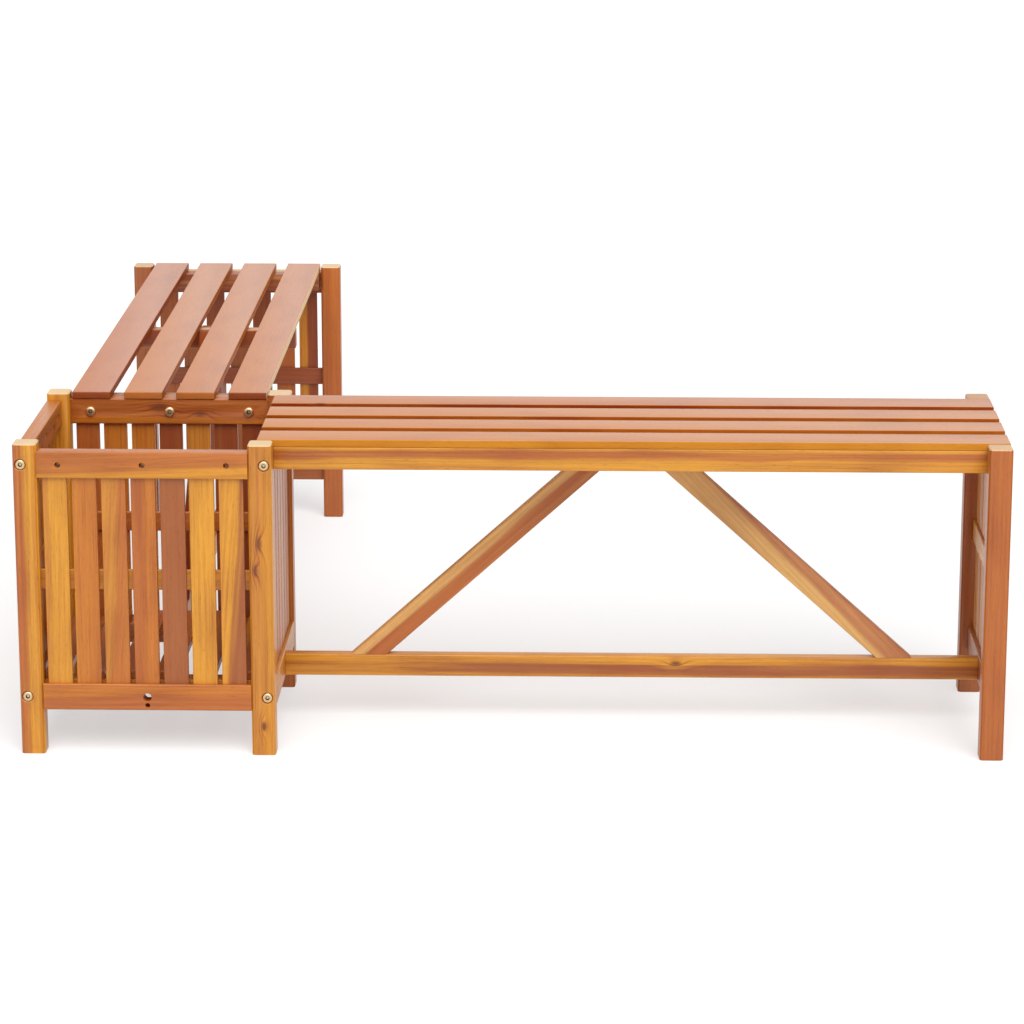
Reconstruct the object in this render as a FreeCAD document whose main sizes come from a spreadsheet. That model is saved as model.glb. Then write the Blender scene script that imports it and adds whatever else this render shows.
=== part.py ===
import FreeCAD, Part
import os

import Sketcher

# Corner bench with a planter. The planter box stands in the corner, one bench runs along +X and its
# mirror image along +Y. Millimetres, +Z up, the origin is on the ground in the middle of the square
# that the two benches span.

# Driving sizes: alias, value and what it measures
DRIVING = [
    ("overall_length", 1170, "outer corner of the planter to the far end of either bench"),
    ("seat_height", 380, "ground to the top of the seat and of the posts"),
    ("planter_width", 304, "outer width of the planter and of the end frames"),
    ("post_width", 28, "side of the square posts"),
    ("post_ease", 2.5, "chamfer on the long edges of the posts"),
    ("post_top_ease", 1.5, "chamfer round the tops of the posts"),
    ("rail_height", 32, "top and bottom rails of the slatted sides"),
    ("rail_thickness", 18, "the same rails, front to back"),
    ("foot_clearance", 55, "ground to the underside of the bottom rails"),
    ("edge_ease", 1, "chamfer on the edges of rails, slats and battens"),
    ("side_slat_count", 7, "upright slats in one side"),
    ("side_slat_thickness", 7, "upright slats"),
    ("planter_slat_width", 29, "upright slats of the planter"),
    ("end_slat_width", 27, "upright slats of the end frames"),
    ("side_slat_recess", 5, "outer face of a rail to the outer face of its slats"),
    ("groove_depth", 7, "grooves in the rails that hold the slats"),
    ("batten_height", 25, "thin rail across the inner side of the slats"),
    ("batten_thickness", 4, "the same"),
    ("batten_tongue", 6, "length of a batten's end that is let into a post"),
    ("tenon_length", 12, "tenons on the ends of the framed rails"),
    ("tenon_thickness", 8, "the same"),
    ("tenon_height", 22, "the same"),
    ("seat_slat_count", 4, "slats of one seat"),
    ("seat_slat_width", 48, "the same"),
    ("seat_slat_thickness", 9, "the same"),
    ("seat_slat_ease", 0.8, "chamfer round the seat slats and along the aprons they meet"),
    ("seat_side_gap", 2.5, "clear space between the posts and the outer seat slats"),
    ("seat_lap", 19.5, "how far the seat slats reach in over the planter's rail"),
    ("cross_rail_width", 20, "rails under the seat slats, along the bench"),
    ("cross_rail_height", 25, "the same"),
    ("apron_height", 27, "board under the outermost seat slat"),
    ("apron_thickness", 12, "the same"),
    ("stretcher_height", 27, "low rail along the middle of a bench"),
    ("stretcher_thickness", 16, "the same, and the braces on it"),
    ("stretcher_lift", 1.5, "underside of the bottom rails to the underside of the stretcher"),
    ("stretcher_tenon_length", 10, "tenon of the stretcher in the end frame's bottom rail"),
    ("stretcher_tenon_height", 18, "the same"),
    ("peg_hole", 10, "hole in a planter's bottom rail for the round peg on a stretcher's end"),
    ("pin_hole", 6, "hole below that one for the pin that keeps the stretcher upright"),
    ("pin_drop", 10, "middle of the peg down to the middle of the pin"),
    ("pin_length", 12, "from the stretcher's end"),
    ("brace_width", 29, "diagonal brace, square to its length"),
    ("brace_reach", 289, "middle cross rail to the inner corner of a brace's foot"),
    ("brace_shoulder", 28, "underside of the seat to a brace's lower edge at the middle rail"),
    ("brace_tenon_length", 7, "stub tenons at both ends of a brace"),
    ("brace_tenon_thickness", 6, "the same"),
    ("brace_tenon_width", 16, "the same"),
    ("floor_board_count", 6, "boards in the planter's floor"),
    ("floor_board_width", 27, "the same"),
    ("floor_board_thickness", 10, "the same"),
    ("ledger_width", 24, "strips that carry the floor boards"),
    ("ledger_height", 10, "the same"),
    ("ledger_rise", 1, "top of the ledgers above the top of the bottom rails"),
    ("bolt_diameter", 6, "all bolts"),
    ("bolt_hole", 7, "clearance holes for the bolts"),
    ("bolt_head_diameter", 12.4, "pan heads"),
    ("bolt_head_height", 3, "the same"),
    ("socket_width", 5, "hexagon sockets, across the flats"),
    ("socket_depth", 2, "the same"),
    ("corner_bolt_length", 40, "under the head"),
    ("counterbore_diameter", 14, "recesses for the heads of the corner bolts"),
    ("counterbore_depth", 3.5, "the same"),
    ("joining_bolt_length", 35, "under the head"),
    ("joining_bolt_inset", 25, "end of a top rail to the nearest joining bolt"),
    ("fit_play", 0.2, "clearance of tenons, slats, pegs and bolts in their seats"),
    ("end_play", 1, "room left past the end of a slat or a bolt in its seat"),
]

# Worked-out places and sizes: alias and formula
WORKED_OUT = [
    ("corner", "-dim.overall_length / 2"),
    ("inner_width", "dim.planter_width - 2 * dim.post_width"),
    ("planter_middle", "dim.planter_width / 2"),
    ("half_post", "dim.post_width / 2"),
    ("far_post", "dim.planter_width - dim.post_width / 2"),
    ("end_post", "dim.overall_length - dim.post_width / 2"),
    ("seat_underside", "dim.seat_height - dim.seat_slat_thickness"),
    ("top_rail_base", "dim.seat_height - dim.seat_slat_thickness - dim.rail_height"),
    ("bottom_rail_top", "dim.foot_clearance + dim.rail_height"),
    ("top_rail_middle", "dim.seat_height - dim.seat_slat_thickness - dim.rail_height / 2"),
    ("bottom_rail_middle", "dim.foot_clearance + dim.rail_height / 2"),
    ("rail_middle", "dim.rail_thickness / 2"),
    ("rail_offset", "dim.post_width / 2 - dim.rail_thickness / 2"),
    ("side_slat_middle", "dim.side_slat_recess + dim.side_slat_thickness / 2"),
    ("groove_width", "dim.side_slat_thickness + 2 * dim.fit_play"),
    ("side_slat_base", "dim.foot_clearance + dim.rail_height - dim.groove_depth"),
    ("batten_middle", "dim.side_slat_recess + dim.side_slat_thickness + dim.batten_thickness / 2"),
    ("tongue_run", "dim.batten_tongue - dim.fit_play"),
    ("tenon_run", "dim.tenon_length - dim.fit_play"),
    ("bolt_seat", "dim.bolt_diameter + dim.fit_play"),
    ("corner_bolt_bite", "dim.corner_bolt_length - dim.post_width + dim.counterbore_depth"),
    ("joining_bolt_bite", "dim.joining_bolt_length - dim.rail_thickness"),
    ("joining_bolt_spacing", "calc.inner_width / 2 - dim.joining_bolt_inset"),
    ("peg_diameter", "dim.peg_hole - dim.fit_play"),
    ("pin_diameter", "dim.pin_hole - dim.fit_play"),
    ("stretcher_tenon_run", "dim.stretcher_tenon_length - dim.fit_play"),
    ("bench_start", "dim.planter_width"),
    ("bench_end", "dim.overall_length - dim.rail_thickness"),
    ("bench_run", "dim.overall_length - dim.rail_thickness - dim.planter_width"),
    ("bench_middle", "(dim.overall_length - dim.rail_thickness + dim.planter_width) / 2"),
    ("seat_edge", "dim.post_width + dim.seat_side_gap"),
    ("seat_span", "dim.planter_width - 2 * (dim.post_width + dim.seat_side_gap)"),
    ("seat_pitch", "(calc.seat_span - dim.seat_slat_width) / (dim.seat_slat_count - 1)"),
    ("seat_slat_length", "dim.overall_length - dim.planter_width + dim.seat_lap"),
    ("cross_rail_start", "calc.seat_edge + dim.apron_thickness"),
    ("cross_rail_length", "calc.seat_span - dim.apron_thickness"),
    ("cross_rail_middle", "calc.seat_edge + (calc.seat_span + dim.apron_thickness) / 2"),
    ("stretcher_base", "dim.foot_clearance + dim.stretcher_lift"),
    ("stretcher_top", "dim.foot_clearance + dim.stretcher_lift + dim.stretcher_height"),
    ("brace_rise", "calc.seat_underside - dim.brace_shoulder - calc.stretcher_top"),
    ("brace_height", "calc.seat_underside - calc.stretcher_top"),
    ("brace_slope", "sqrt(dim.brace_reach ^ 2 + calc.brace_rise ^ 2) / calc.brace_rise"),
    ("brace_foot_run", "dim.brace_width * calc.brace_slope"),
    ("brace_foot_middle", "dim.cross_rail_width / 2 + dim.brace_reach + calc.brace_foot_run / 2"),
    ("brace_head_middle", "calc.brace_height - dim.cross_rail_height / 2"),
    ("floor_gap", "(calc.inner_width - dim.floor_board_count * dim.floor_board_width)"
                  " / (dim.floor_board_count - 1)"),
    ("floor_pitch", "calc.floor_gap + dim.floor_board_width"),
    ("floor_board_length", "dim.planter_width - 2 * dim.rail_thickness - 2 * dim.fit_play"),
    ("ledger_top", "dim.foot_clearance + dim.rail_height + dim.ledger_rise"),
]

doc = FreeCAD.newDocument("corner_bench_with_planter")
Vector = FreeCAD.Vector
Rotation = FreeCAD.Rotation
FLAT = 1e-6


def make_sheet(name):
    return doc.addObject("Spreadsheet::Sheet", name)


dimensions = make_sheet("dim")
for row, (alias, size, note) in enumerate(DRIVING, start=1):
    dimensions.set(f"A{row}", alias)
    dimensions.set(f"B{row}", str(size))
    dimensions.set(f"C{row}", note)
    dimensions.setAlias(f"B{row}", alias)

worked_out = make_sheet("calc")
for row, (alias, formula) in enumerate(WORKED_OUT, start=1):
    worked_out.set(f"A{row}", alias)
    worked_out.setAlias(f"B{row}", alias)
    worked_out.set(f"B{row}", "=" + formula.replace("calc.", ""))
doc.recompute()


def value(formula):
    return float(worked_out.evalExpression(formula))


# Building blocks

sub_parts = []


def new_body(label):
    body = doc.addObject("PartDesign::Body", label)
    body.Label = label
    sub_parts.append(body)
    return body


def place(thing, x, y, z, turn=0):
    """Stands a sub-part in the bench's frame. x and y are measured from the planter's outer corner."""
    thing.Placement = FreeCAD.Placement(Vector(), Rotation(Vector(0, 0, 1), turn))
    thing.setExpression("Placement.Base.x", f"calc.corner + {x}")
    thing.setExpression("Placement.Base.y", f"calc.corner + {y}")
    thing.setExpression("Placement.Base.z", f"{z}")


def origin_feature(body, role):
    return next(feature for feature in body.Origin.OriginFeatures if feature.Role == role)


def new_sketch(body, name, role):
    sketch = body.newObject("Sketcher::SketchObject", name)
    sketch.AttachmentSupport = [(origin_feature(body, role), "")]
    sketch.MapMode = "FlatFace"
    return sketch


def named_distance(sketch, kind, places, name, formula):
    index = sketch.addConstraint(Sketcher.Constraint(kind, *places, value(formula)))
    sketch.renameConstraint(index, name)
    sketch.setExpression(f"Constraints.{name}", formula)


def rectangle(body, name, role, width, height, standing=False):
    """A sketched rectangle, centred on the origin or standing on the first axis of its plane."""
    sketch = new_sketch(body, name, role)
    half = value(width) / 2
    low, high = (0, value(height)) if standing else (-value(height) / 2, value(height) / 2)
    points = [Vector(-half, low), Vector(half, low), Vector(half, high), Vector(-half, high)]
    for start, end in zip(points, points[1:] + points[:1]):
        sketch.addGeometry(Part.LineSegment(start, end), False)
    for side in range(4):
        sketch.addConstraint(Sketcher.Constraint("Coincident", side, 2, (side + 1) % 4, 1))
    for side, direction in ((1, "Vertical"), (2, "Horizontal"), (3, "Vertical")):
        sketch.addConstraint(Sketcher.Constraint(direction, side))
    if standing:
        sketch.addConstraint(Sketcher.Constraint("Symmetric", 0, 1, 0, 2, -2))
        sketch.addConstraint(Sketcher.Constraint("PointOnObject", 0, 1, -1))
    else:
        sketch.addConstraint(Sketcher.Constraint("Horizontal", 0))
        sketch.addConstraint(Sketcher.Constraint("Symmetric", 0, 1, 2, 1, -1, 1))
    named_distance(sketch, "DistanceX", (0, 1, 0, 2), "width", width)
    named_distance(sketch, "DistanceY", (1, 1, 1, 2), "height", height)
    return sketch


def pad(body, sketch, length, middle=False, reverse=False):
    feature = body.newObject("PartDesign::Pad", "stock")
    feature.Profile = sketch
    feature.Midplane = middle
    feature.Reversed = reverse
    feature.setExpression("Length", length)
    sketch.Visibility = False
    doc.recompute()
    return feature


def extent(edge):
    box = edge.BoundBox
    return Vector(box.XLength, box.YLength, box.ZLength)


def edges_along(shape, axis):
    """Straight edges parallel to an axis: 0 is x, 1 is y and 2 is z."""
    names = []
    for number, edge in enumerate(shape.Edges, start=1):
        if extent(edge)[axis] > FLAT and sum(extent(edge)) - extent(edge)[axis] < FLAT:
            names.append(f"Edge{number}")
    return names


def edges_across(shape, axis, ends):
    """Edges that lie in the lowest (-1) or highest (1) plane of the shape along an axis."""
    box = shape.BoundBox
    low = (box.XMin, box.YMin, box.ZMin)[axis]
    high = (box.XMax, box.YMax, box.ZMax)[axis]
    planes = [low if end < 0 else high for end in ends]
    names = []
    for number, edge in enumerate(shape.Edges, start=1):
        place_on_axis = edge.BoundBox.Center[axis]
        if extent(edge)[axis] < FLAT and min(abs(place_on_axis - plane) for plane in planes) < FLAT:
            names.append(f"Edge{number}")
    return names


def ease(body, base, names, size):
    feature = body.newObject("PartDesign::Chamfer", "eased")
    feature.Base = (base, names)
    feature.setExpression("Size", size)
    doc.recompute()
    return feature


def box_feature(body, kind, name, middle, length, width, height):
    """Adds or takes away a box. Its middle is given in x and y, and its underside in z."""
    feature = body.newObject(f"PartDesign::{kind}Box", name)
    feature.setExpression("Length", length)
    feature.setExpression("Width", width)
    feature.setExpression("Height", height)
    feature.setExpression("Placement.Base.x", f"{middle[0]} - ({length}) / 2")
    feature.setExpression("Placement.Base.y", f"{middle[1]} - ({width}) / 2")
    feature.setExpression("Placement.Base.z", f"{middle[2]}")
    return feature


def cut_box(body, name, middle, length, width, height):
    return box_feature(body, "Subtractive", name, middle, length, width, height)


def add_box(body, name, middle, length, width, height):
    return box_feature(body, "Additive", name, middle, length, width, height)


DIRECTIONS = {
    "+x": Rotation(Vector(0, 1, 0), 90),
    "-x": Rotation(Vector(0, 1, 0), -90),
    "+y": Rotation(Vector(1, 0, 0), -90),
}


def rod_feature(body, kind, name, start, direction, diameter, length):
    rod = body.newObject(f"PartDesign::{kind}Cylinder", name)
    rod.Placement = FreeCAD.Placement(Vector(), DIRECTIONS[direction])
    rod.setExpression("Radius", f"({diameter}) / 2")
    rod.setExpression("Height", length)
    rod.setExpression("Placement.Base.x", f"{start[0]}")
    rod.setExpression("Placement.Base.y", f"{start[1]}")
    rod.setExpression("Placement.Base.z", f"{start[2]}")
    return rod


def drill(body, name, start, direction, diameter, depth):
    return rod_feature(body, "Subtractive", name, start, direction, diameter, depth)


def add_rod(body, name, start, direction, diameter, length):
    return rod_feature(body, "Additive", name, start, direction, diameter, length)


def bar(label, axis, length, width, height, size="dim.edge_ease", from_start=False):
    """A straight board that stands on z = 0, with its long edges eased.

    It runs along local x or y and is centred on the other axis. Its length is centred too, unless
    it is measured from its start.
    """
    body = new_body(label)
    role = "YZ_Plane" if axis == "x" else "XZ_Plane"
    sketch = rectangle(body, "section", role, width, height, standing=True)
    stock = pad(body, sketch, length, middle=not from_start)
    eased = ease(body, stock, edges_along(stock.Shape, "xy".index(axis)), size)
    return body, stock, eased


def row(body, originals, role, pitch, count):
    pattern = body.newObject("PartDesign::LinearPattern", "row")
    pattern.Originals = originals
    pattern.Direction = (origin_feature(body, role), [""])
    pattern.setExpression("Length", f"{pitch} * ({count} - 1)")
    pattern.setExpression("Occurrences", count)
    body.Tip = pattern
    return pattern


# The six slatted sides, each named for where it stands. x and y are the middle of its outer face,
# inward points from there to its inner face, and turn sets its local y to point outwards.

SIDES = {
    "planter_front": ("calc.planter_middle", "0", (0, 1), 180),
    "planter_back": ("calc.planter_middle", "dim.planter_width", (0, -1), 0),
    "planter_left": ("0", "calc.planter_middle", (1, 0), 90),
    "planter_right": ("dim.planter_width", "calc.planter_middle", (-1, 0), -90),
    "right_end": ("dim.overall_length", "calc.planter_middle", (-1, 0), -90),
    "left_end": ("calc.planter_middle", "dim.overall_length", (0, -1), 0),
}
# The front frame of the planter is bolted to the left and right rails, whose other ends are
# tenoned into the back posts. The value is the sign of local x at the bolted end.
BOLTED_SIDES = {"planter_left": -1, "planter_right": 1}
END_SIDES = ("right_end", "left_end")
BOLT_PLACES = ("-calc.joining_bolt_spacing", "0", "calc.joining_bolt_spacing")


def place_in_side(thing, side, depth, z):
    """depth is how far the piece's middle lies inside the outer face."""
    x, y, inward, turn = SIDES[side]
    place(thing, f"{x} + ({inward[0]}) * {depth}", f"{y} + ({inward[1]}) * {depth}", z, turn)


def make_rail(side, level):
    top = level == "top"
    body, stock, eased = bar(f"{side}_{level}_rail", "x", "calc.inner_width", "dim.rail_thickness",
                             "dim.rail_height")
    slat_y = "calc.rail_middle - calc.side_slat_middle"
    groove_z = "0" if top else "dim.rail_height - dim.groove_depth"
    cut_box(body, "groove", ("0", slat_y, groove_z), "calc.inner_width", "calc.groove_width",
            "dim.groove_depth")
    middle = "dim.rail_height / 2"
    for end in (-1, 1):
        if BOLTED_SIDES.get(side) == end:
            drill(body, "bolt_seat", (f"{end} * calc.inner_width / 2", "0", middle),
                  "-x" if end > 0 else "+x", "calc.bolt_seat",
                  "calc.corner_bolt_bite + dim.end_play")
        else:
            x = f"{end} * (calc.inner_width + calc.tenon_run) / 2"
            add_box(body, "tenon", (x, "0", f"{middle} - dim.tenon_height / 2"), "calc.tenon_run",
                    "dim.tenon_thickness", "dim.tenon_height")
    inner_face = "-calc.rail_middle"
    if side in END_SIDES and not top:
        cut_box(body, "stretcher_seat",
                ("0", "(dim.stretcher_tenon_length - dim.rail_thickness) / 2",
                 f"{middle} - dim.stretcher_tenon_height / 2 - dim.fit_play"),
                "dim.tenon_thickness + 2 * dim.fit_play", "dim.stretcher_tenon_length",
                "dim.stretcher_tenon_height + 2 * dim.fit_play")
    elif top and side not in END_SIDES:
        for x in BOLT_PLACES:
            drill(body, "bolt_hole", (x, inner_face, middle), "+y", "dim.bolt_hole",
                  "dim.rail_thickness")
    elif not top:
        drill(body, "peg_hole", ("0", inner_face, middle), "+y", "dim.peg_hole",
              "dim.rail_thickness")
        drill(body, "pin_hole", ("0", inner_face, f"{middle} - dim.pin_drop"), "+y",
              "dim.pin_hole", "dim.rail_thickness")
    place_in_side(body, side, "calc.rail_middle",
                  "calc.top_rail_base" if top else "dim.foot_clearance")


def make_side_slats(side):
    width = "dim.end_slat_width" if side in END_SIDES else "dim.planter_slat_width"
    gap = f"(calc.inner_width - dim.side_slat_count * {width}) / (dim.side_slat_count + 1)"
    pitch = f"({width} + {gap})"
    body = new_body(f"{side}_slats")
    sketch = rectangle(body, "section", "XY_Plane", width, "dim.side_slat_thickness")
    sketch.setExpression("AttachmentOffset.Base.x", f"{pitch} * (1 - dim.side_slat_count) / 2")
    length = "calc.top_rail_base - calc.bottom_rail_top + 2 * dim.groove_depth - dim.end_play"
    stock = pad(body, sketch, length)
    eased = ease(body, stock, edges_along(stock.Shape, 2), "dim.edge_ease")
    row(body, [stock, eased], "X_Axis", pitch, "dim.side_slat_count")
    place_in_side(body, side, "calc.side_slat_middle", "calc.side_slat_base")


def make_batten(side):
    length = "calc.inner_width + 2 * calc.tongue_run"
    body, stock, eased = bar(f"{side}_batten", "x", length, "dim.batten_thickness",
                             "dim.batten_height")
    middle = "(calc.bottom_rail_top + calc.top_rail_base) / 2"
    place_in_side(body, side, "calc.batten_middle", f"{middle} - dim.batten_height / 2")


for side in SIDES:
    make_rail(side, "top")
    make_rail(side, "bottom")
    make_side_slats(side)
    make_batten(side)


# Posts. inward_x and inward_y point from a post to its neighbours. An end frame's rails are
# tenoned into its posts. So are the planter's, except that bolts through the front posts hold the
# rails of the left and right sides.

POSTS = {
    "planter_front_left_post": ("calc.half_post", "calc.half_post", 1, 1),
    "planter_front_right_post": ("calc.far_post", "calc.half_post", -1, 1),
    "planter_back_left_post": ("calc.half_post", "calc.far_post", 1, -1),
    "planter_back_right_post": ("calc.far_post", "calc.far_post", -1, -1),
    "right_end_front_post": ("calc.end_post", "calc.half_post", -1, 1),
    "right_end_back_post": ("calc.end_post", "calc.far_post", -1, -1),
    "left_end_left_post": ("calc.half_post", "calc.end_post", 1, -1),
    "left_end_right_post": ("calc.far_post", "calc.end_post", -1, -1),
}
RAIL_MIDDLES = ("calc.bottom_rail_middle", "calc.top_rail_middle")
BATTEN_BASE = "(calc.bottom_rail_top + calc.top_rail_base - dim.batten_height) / 2"


def along_or_across(framed_along_x, along, across):
    return (along, across) if framed_along_x else (across, along)


def cut_post_seat(body, name, along_x, inward, outward, depth, offset, z, thickness, height):
    """A mortise that opens on the post's inner face. offset is its middle, inward of the post's."""
    along = f"{inward} * (calc.half_post - {depth} / 2)"
    across = f"{outward} * ({offset})"
    middle = (*along_or_across(along_x, along, across), f"{z} - dim.fit_play")
    length, width = along_or_across(along_x, depth, f"{thickness} + 2 * dim.fit_play")
    cut_box(body, name, middle, length, width, f"{height} + 2 * dim.fit_play")


def cut_mortises(body, along_x, inward, outward):
    for middle in RAIL_MIDDLES:
        cut_post_seat(body, "mortise", along_x, inward, outward, "dim.tenon_length",
                      "-calc.rail_offset", f"{middle} - dim.tenon_height / 2",
                      "dim.tenon_thickness", "dim.tenon_height")


def cut_batten_seat(body, along_x, inward, outward):
    cut_post_seat(body, "batten_seat", along_x, inward, outward, "dim.batten_tongue",
                  "calc.batten_middle - calc.half_post", BATTEN_BASE, "dim.batten_thickness",
                  "dim.batten_height")


def drill_for_bolts(body, inward_x):
    for middle in RAIL_MIDDLES:
        start = (f"{inward_x} * -calc.rail_offset", "-calc.half_post", middle)
        drill(body, "bolt_hole", start, "+y", "dim.bolt_hole", "dim.post_width")
        drill(body, "counterbore", start, "+y", "dim.counterbore_diameter",
              "dim.counterbore_depth")


def make_post(label, x, y, inward_x, inward_y):
    body = new_body(label)
    sketch = rectangle(body, "section", "XY_Plane", "dim.post_width", "dim.post_width")
    stock = pad(body, sketch, "dim.seat_height")
    eased = ease(body, stock, edges_along(stock.Shape, 2), "dim.post_ease")
    ease(body, eased, edges_across(eased.Shape, 2, (1,)), "dim.post_top_ease")
    in_planter = label.startswith("planter")
    meets_x = in_planter or label.startswith("left_end")
    meets_y = in_planter or label.startswith("right_end")
    if meets_x:
        cut_batten_seat(body, True, inward_x, inward_y)
        cut_mortises(body, True, inward_x, inward_y)
    if meets_y:
        cut_batten_seat(body, False, inward_y, inward_x)
        if label.startswith("planter_front"):
            drill_for_bolts(body, inward_x)
        else:
            cut_mortises(body, False, inward_y, inward_x)
    place(body, x, y, "0")


for label, (x, y, inward_x, inward_y) in POSTS.items():
    make_post(label, x, y, inward_x, inward_y)


# The planter's floor

def make_floor():
    body, stock, eased = bar("planter_floor_boards", "y", "calc.floor_board_length",
                             "dim.floor_board_width", "dim.floor_board_thickness")
    row(body, [stock, eased], "X_Axis", "calc.floor_pitch", "dim.floor_board_count")
    place(body, "dim.post_width + dim.floor_board_width / 2", "calc.planter_middle",
          "calc.ledger_top")
    inset = "(dim.rail_thickness + dim.ledger_width / 2)"
    for side, across in (("front", inset), ("back", f"(dim.planter_width - {inset})")):
        body, stock, eased = bar(f"planter_{side}_ledger", "x", "calc.inner_width",
                                 "dim.ledger_width", "dim.ledger_height")
        place(body, "calc.planter_middle", across, "calc.ledger_top - dim.ledger_height")


make_floor()


# The two benches. A piece is placed along its bench, from the planter's outer corner, and across
# it, from the bench's outer side. The left bench is the right one's mirror image, so its local y
# points the other way.

BENCHES = {"right": 1, "left": -1}


def place_on_bench(thing, bench, along, across, z):
    x, y = (along, across) if bench == "right" else (across, along)
    place(thing, x, y, z, 0 if bench == "right" else 90)


def make_seat_slat(bench, number):
    body, stock, eased = bar(f"{bench}_seat_slat_{number}", "x", "calc.seat_slat_length",
                             "dim.seat_slat_width", "dim.seat_slat_thickness",
                             "dim.seat_slat_ease", from_start=True)
    ease(body, eased, edges_across(eased.Shape, 0, (-1, 1)), "dim.seat_slat_ease")
    across = f"calc.seat_edge + dim.seat_slat_width / 2 + {number - 1} * calc.seat_pitch"
    place_on_bench(body, bench, "dim.planter_width - dim.seat_lap", across,
                   "calc.seat_underside")


def make_cross_rail(bench, name, along):
    body, stock, eased = bar(f"{bench}_cross_rail_{name}", "y", "calc.cross_rail_length",
                             "dim.cross_rail_width", "dim.cross_rail_height")
    side = BENCHES[bench]
    if name == "middle":
        for end in (-1, 1):
            x = f"{end} * (dim.cross_rail_width - dim.brace_tenon_length) / 2"
            y = f"{side} * (calc.planter_middle - calc.cross_rail_middle)"
            z = "(dim.cross_rail_height - dim.brace_tenon_width) / 2 - dim.fit_play"
            cut_box(body, "brace_seat", (x, y, z), "dim.brace_tenon_length",
                    "dim.brace_tenon_thickness + 2 * dim.fit_play",
                    "dim.brace_tenon_width + 2 * dim.fit_play")
    if name == "near":
        z = "calc.top_rail_middle - calc.seat_underside + dim.cross_rail_height"
        for bolt_place in BOLT_PLACES:
            y = f"{side} * (calc.planter_middle + {bolt_place} - calc.cross_rail_middle)"
            drill(body, "bolt_seat", ("-dim.cross_rail_width / 2", y, z), "+x",
                  "calc.bolt_seat", "calc.joining_bolt_bite + dim.end_play")
    place_on_bench(body, bench, along, "calc.cross_rail_middle",
                   "calc.seat_underside - dim.cross_rail_height")


def make_apron(bench):
    body, stock, eased = bar(f"{bench}_apron", "x", "calc.bench_run", "dim.apron_thickness",
                             "dim.apron_height", "dim.seat_slat_ease")
    place_on_bench(body, bench, "calc.bench_middle", "calc.seat_edge + dim.apron_thickness / 2",
                   "calc.seat_underside - dim.apron_height")


def make_stretcher(bench):
    body, stock, eased = bar(f"{bench}_stretcher", "x", "calc.bench_run",
                             "dim.stretcher_thickness", "dim.stretcher_height")
    for end in (-1, 1):
        cut_box(body, "brace_seat",
                (f"{end} * calc.brace_foot_middle", "0",
                 "dim.stretcher_height - dim.brace_tenon_length"),
                "dim.brace_tenon_width + 2 * dim.fit_play",
                "dim.brace_tenon_thickness + 2 * dim.fit_play", "dim.brace_tenon_length")
    middle = "(calc.bottom_rail_middle - calc.stretcher_base)"
    add_rod(body, "peg", ("-calc.bench_run / 2", "0", middle), "-x", "calc.peg_diameter",
            "dim.rail_thickness")
    add_rod(body, "pin", ("-calc.bench_run / 2", "0", f"{middle} - dim.pin_drop"), "-x",
            "calc.pin_diameter", "dim.pin_length")
    add_box(body, "tenon",
            ("(calc.bench_run + calc.stretcher_tenon_run) / 2", "0",
             f"{middle} - dim.stretcher_tenon_height / 2"),
            "calc.stretcher_tenon_run", "dim.tenon_thickness", "dim.stretcher_tenon_height")
    place_on_bench(body, bench, "calc.bench_middle", "calc.planter_middle", "calc.stretcher_base")


def brace_outline(body, side):
    """The brace seen from the bench's side. Its foot is level on the stretcher and its head is
    cut to the middle cross rail and to the underside of the seat."""
    sketch = new_sketch(body, "outline", "XZ_Plane")
    rail = value("dim.cross_rail_width / 2")
    reach = value("dim.brace_reach")
    rise = value("calc.brace_rise")
    height = value("calc.brace_height")
    foot = value("calc.brace_foot_run")
    points = [
        Vector(side * (rail + reach + foot), 0),
        Vector(side * (rail + reach), 0),
        Vector(side * rail, rise),
        Vector(side * rail, height),
        Vector(side * (rail + reach + foot - height * reach / rise), height),
    ]
    for start, end in zip(points, points[1:] + points[:1]):
        sketch.addGeometry(Part.LineSegment(start, end), False)
    for line in range(5):
        sketch.addConstraint(Sketcher.Constraint("Coincident", line, 2, (line + 1) % 5, 1))
    sketch.addConstraint(Sketcher.Constraint("PointOnObject", 0, 1, -1))
    sketch.addConstraint(Sketcher.Constraint("Horizontal", 0))
    sketch.addConstraint(Sketcher.Constraint("Vertical", 2))
    sketch.addConstraint(Sketcher.Constraint("Horizontal", 3))
    sketch.addConstraint(Sketcher.Constraint("Parallel", 1, 4))
    named_distance(sketch, "DistanceX", sorted_by_x(side, (-1, 1), (2, 1)), "rail",
                   "dim.cross_rail_width / 2")
    named_distance(sketch, "DistanceX", sorted_by_x(side, (2, 1), (0, 2)), "reach",
                   "dim.brace_reach")
    named_distance(sketch, "DistanceY", (0, 2, 2, 1), "rise", "calc.brace_rise")
    named_distance(sketch, "DistanceY", (0, 2, 3, 1), "height", "calc.brace_height")
    named_distance(sketch, "Distance", (0, 1, 1), "width", "dim.brace_width")
    return sketch


def sorted_by_x(side, near, far):
    return (*near, *far) if side > 0 else (*far, *near)


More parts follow.
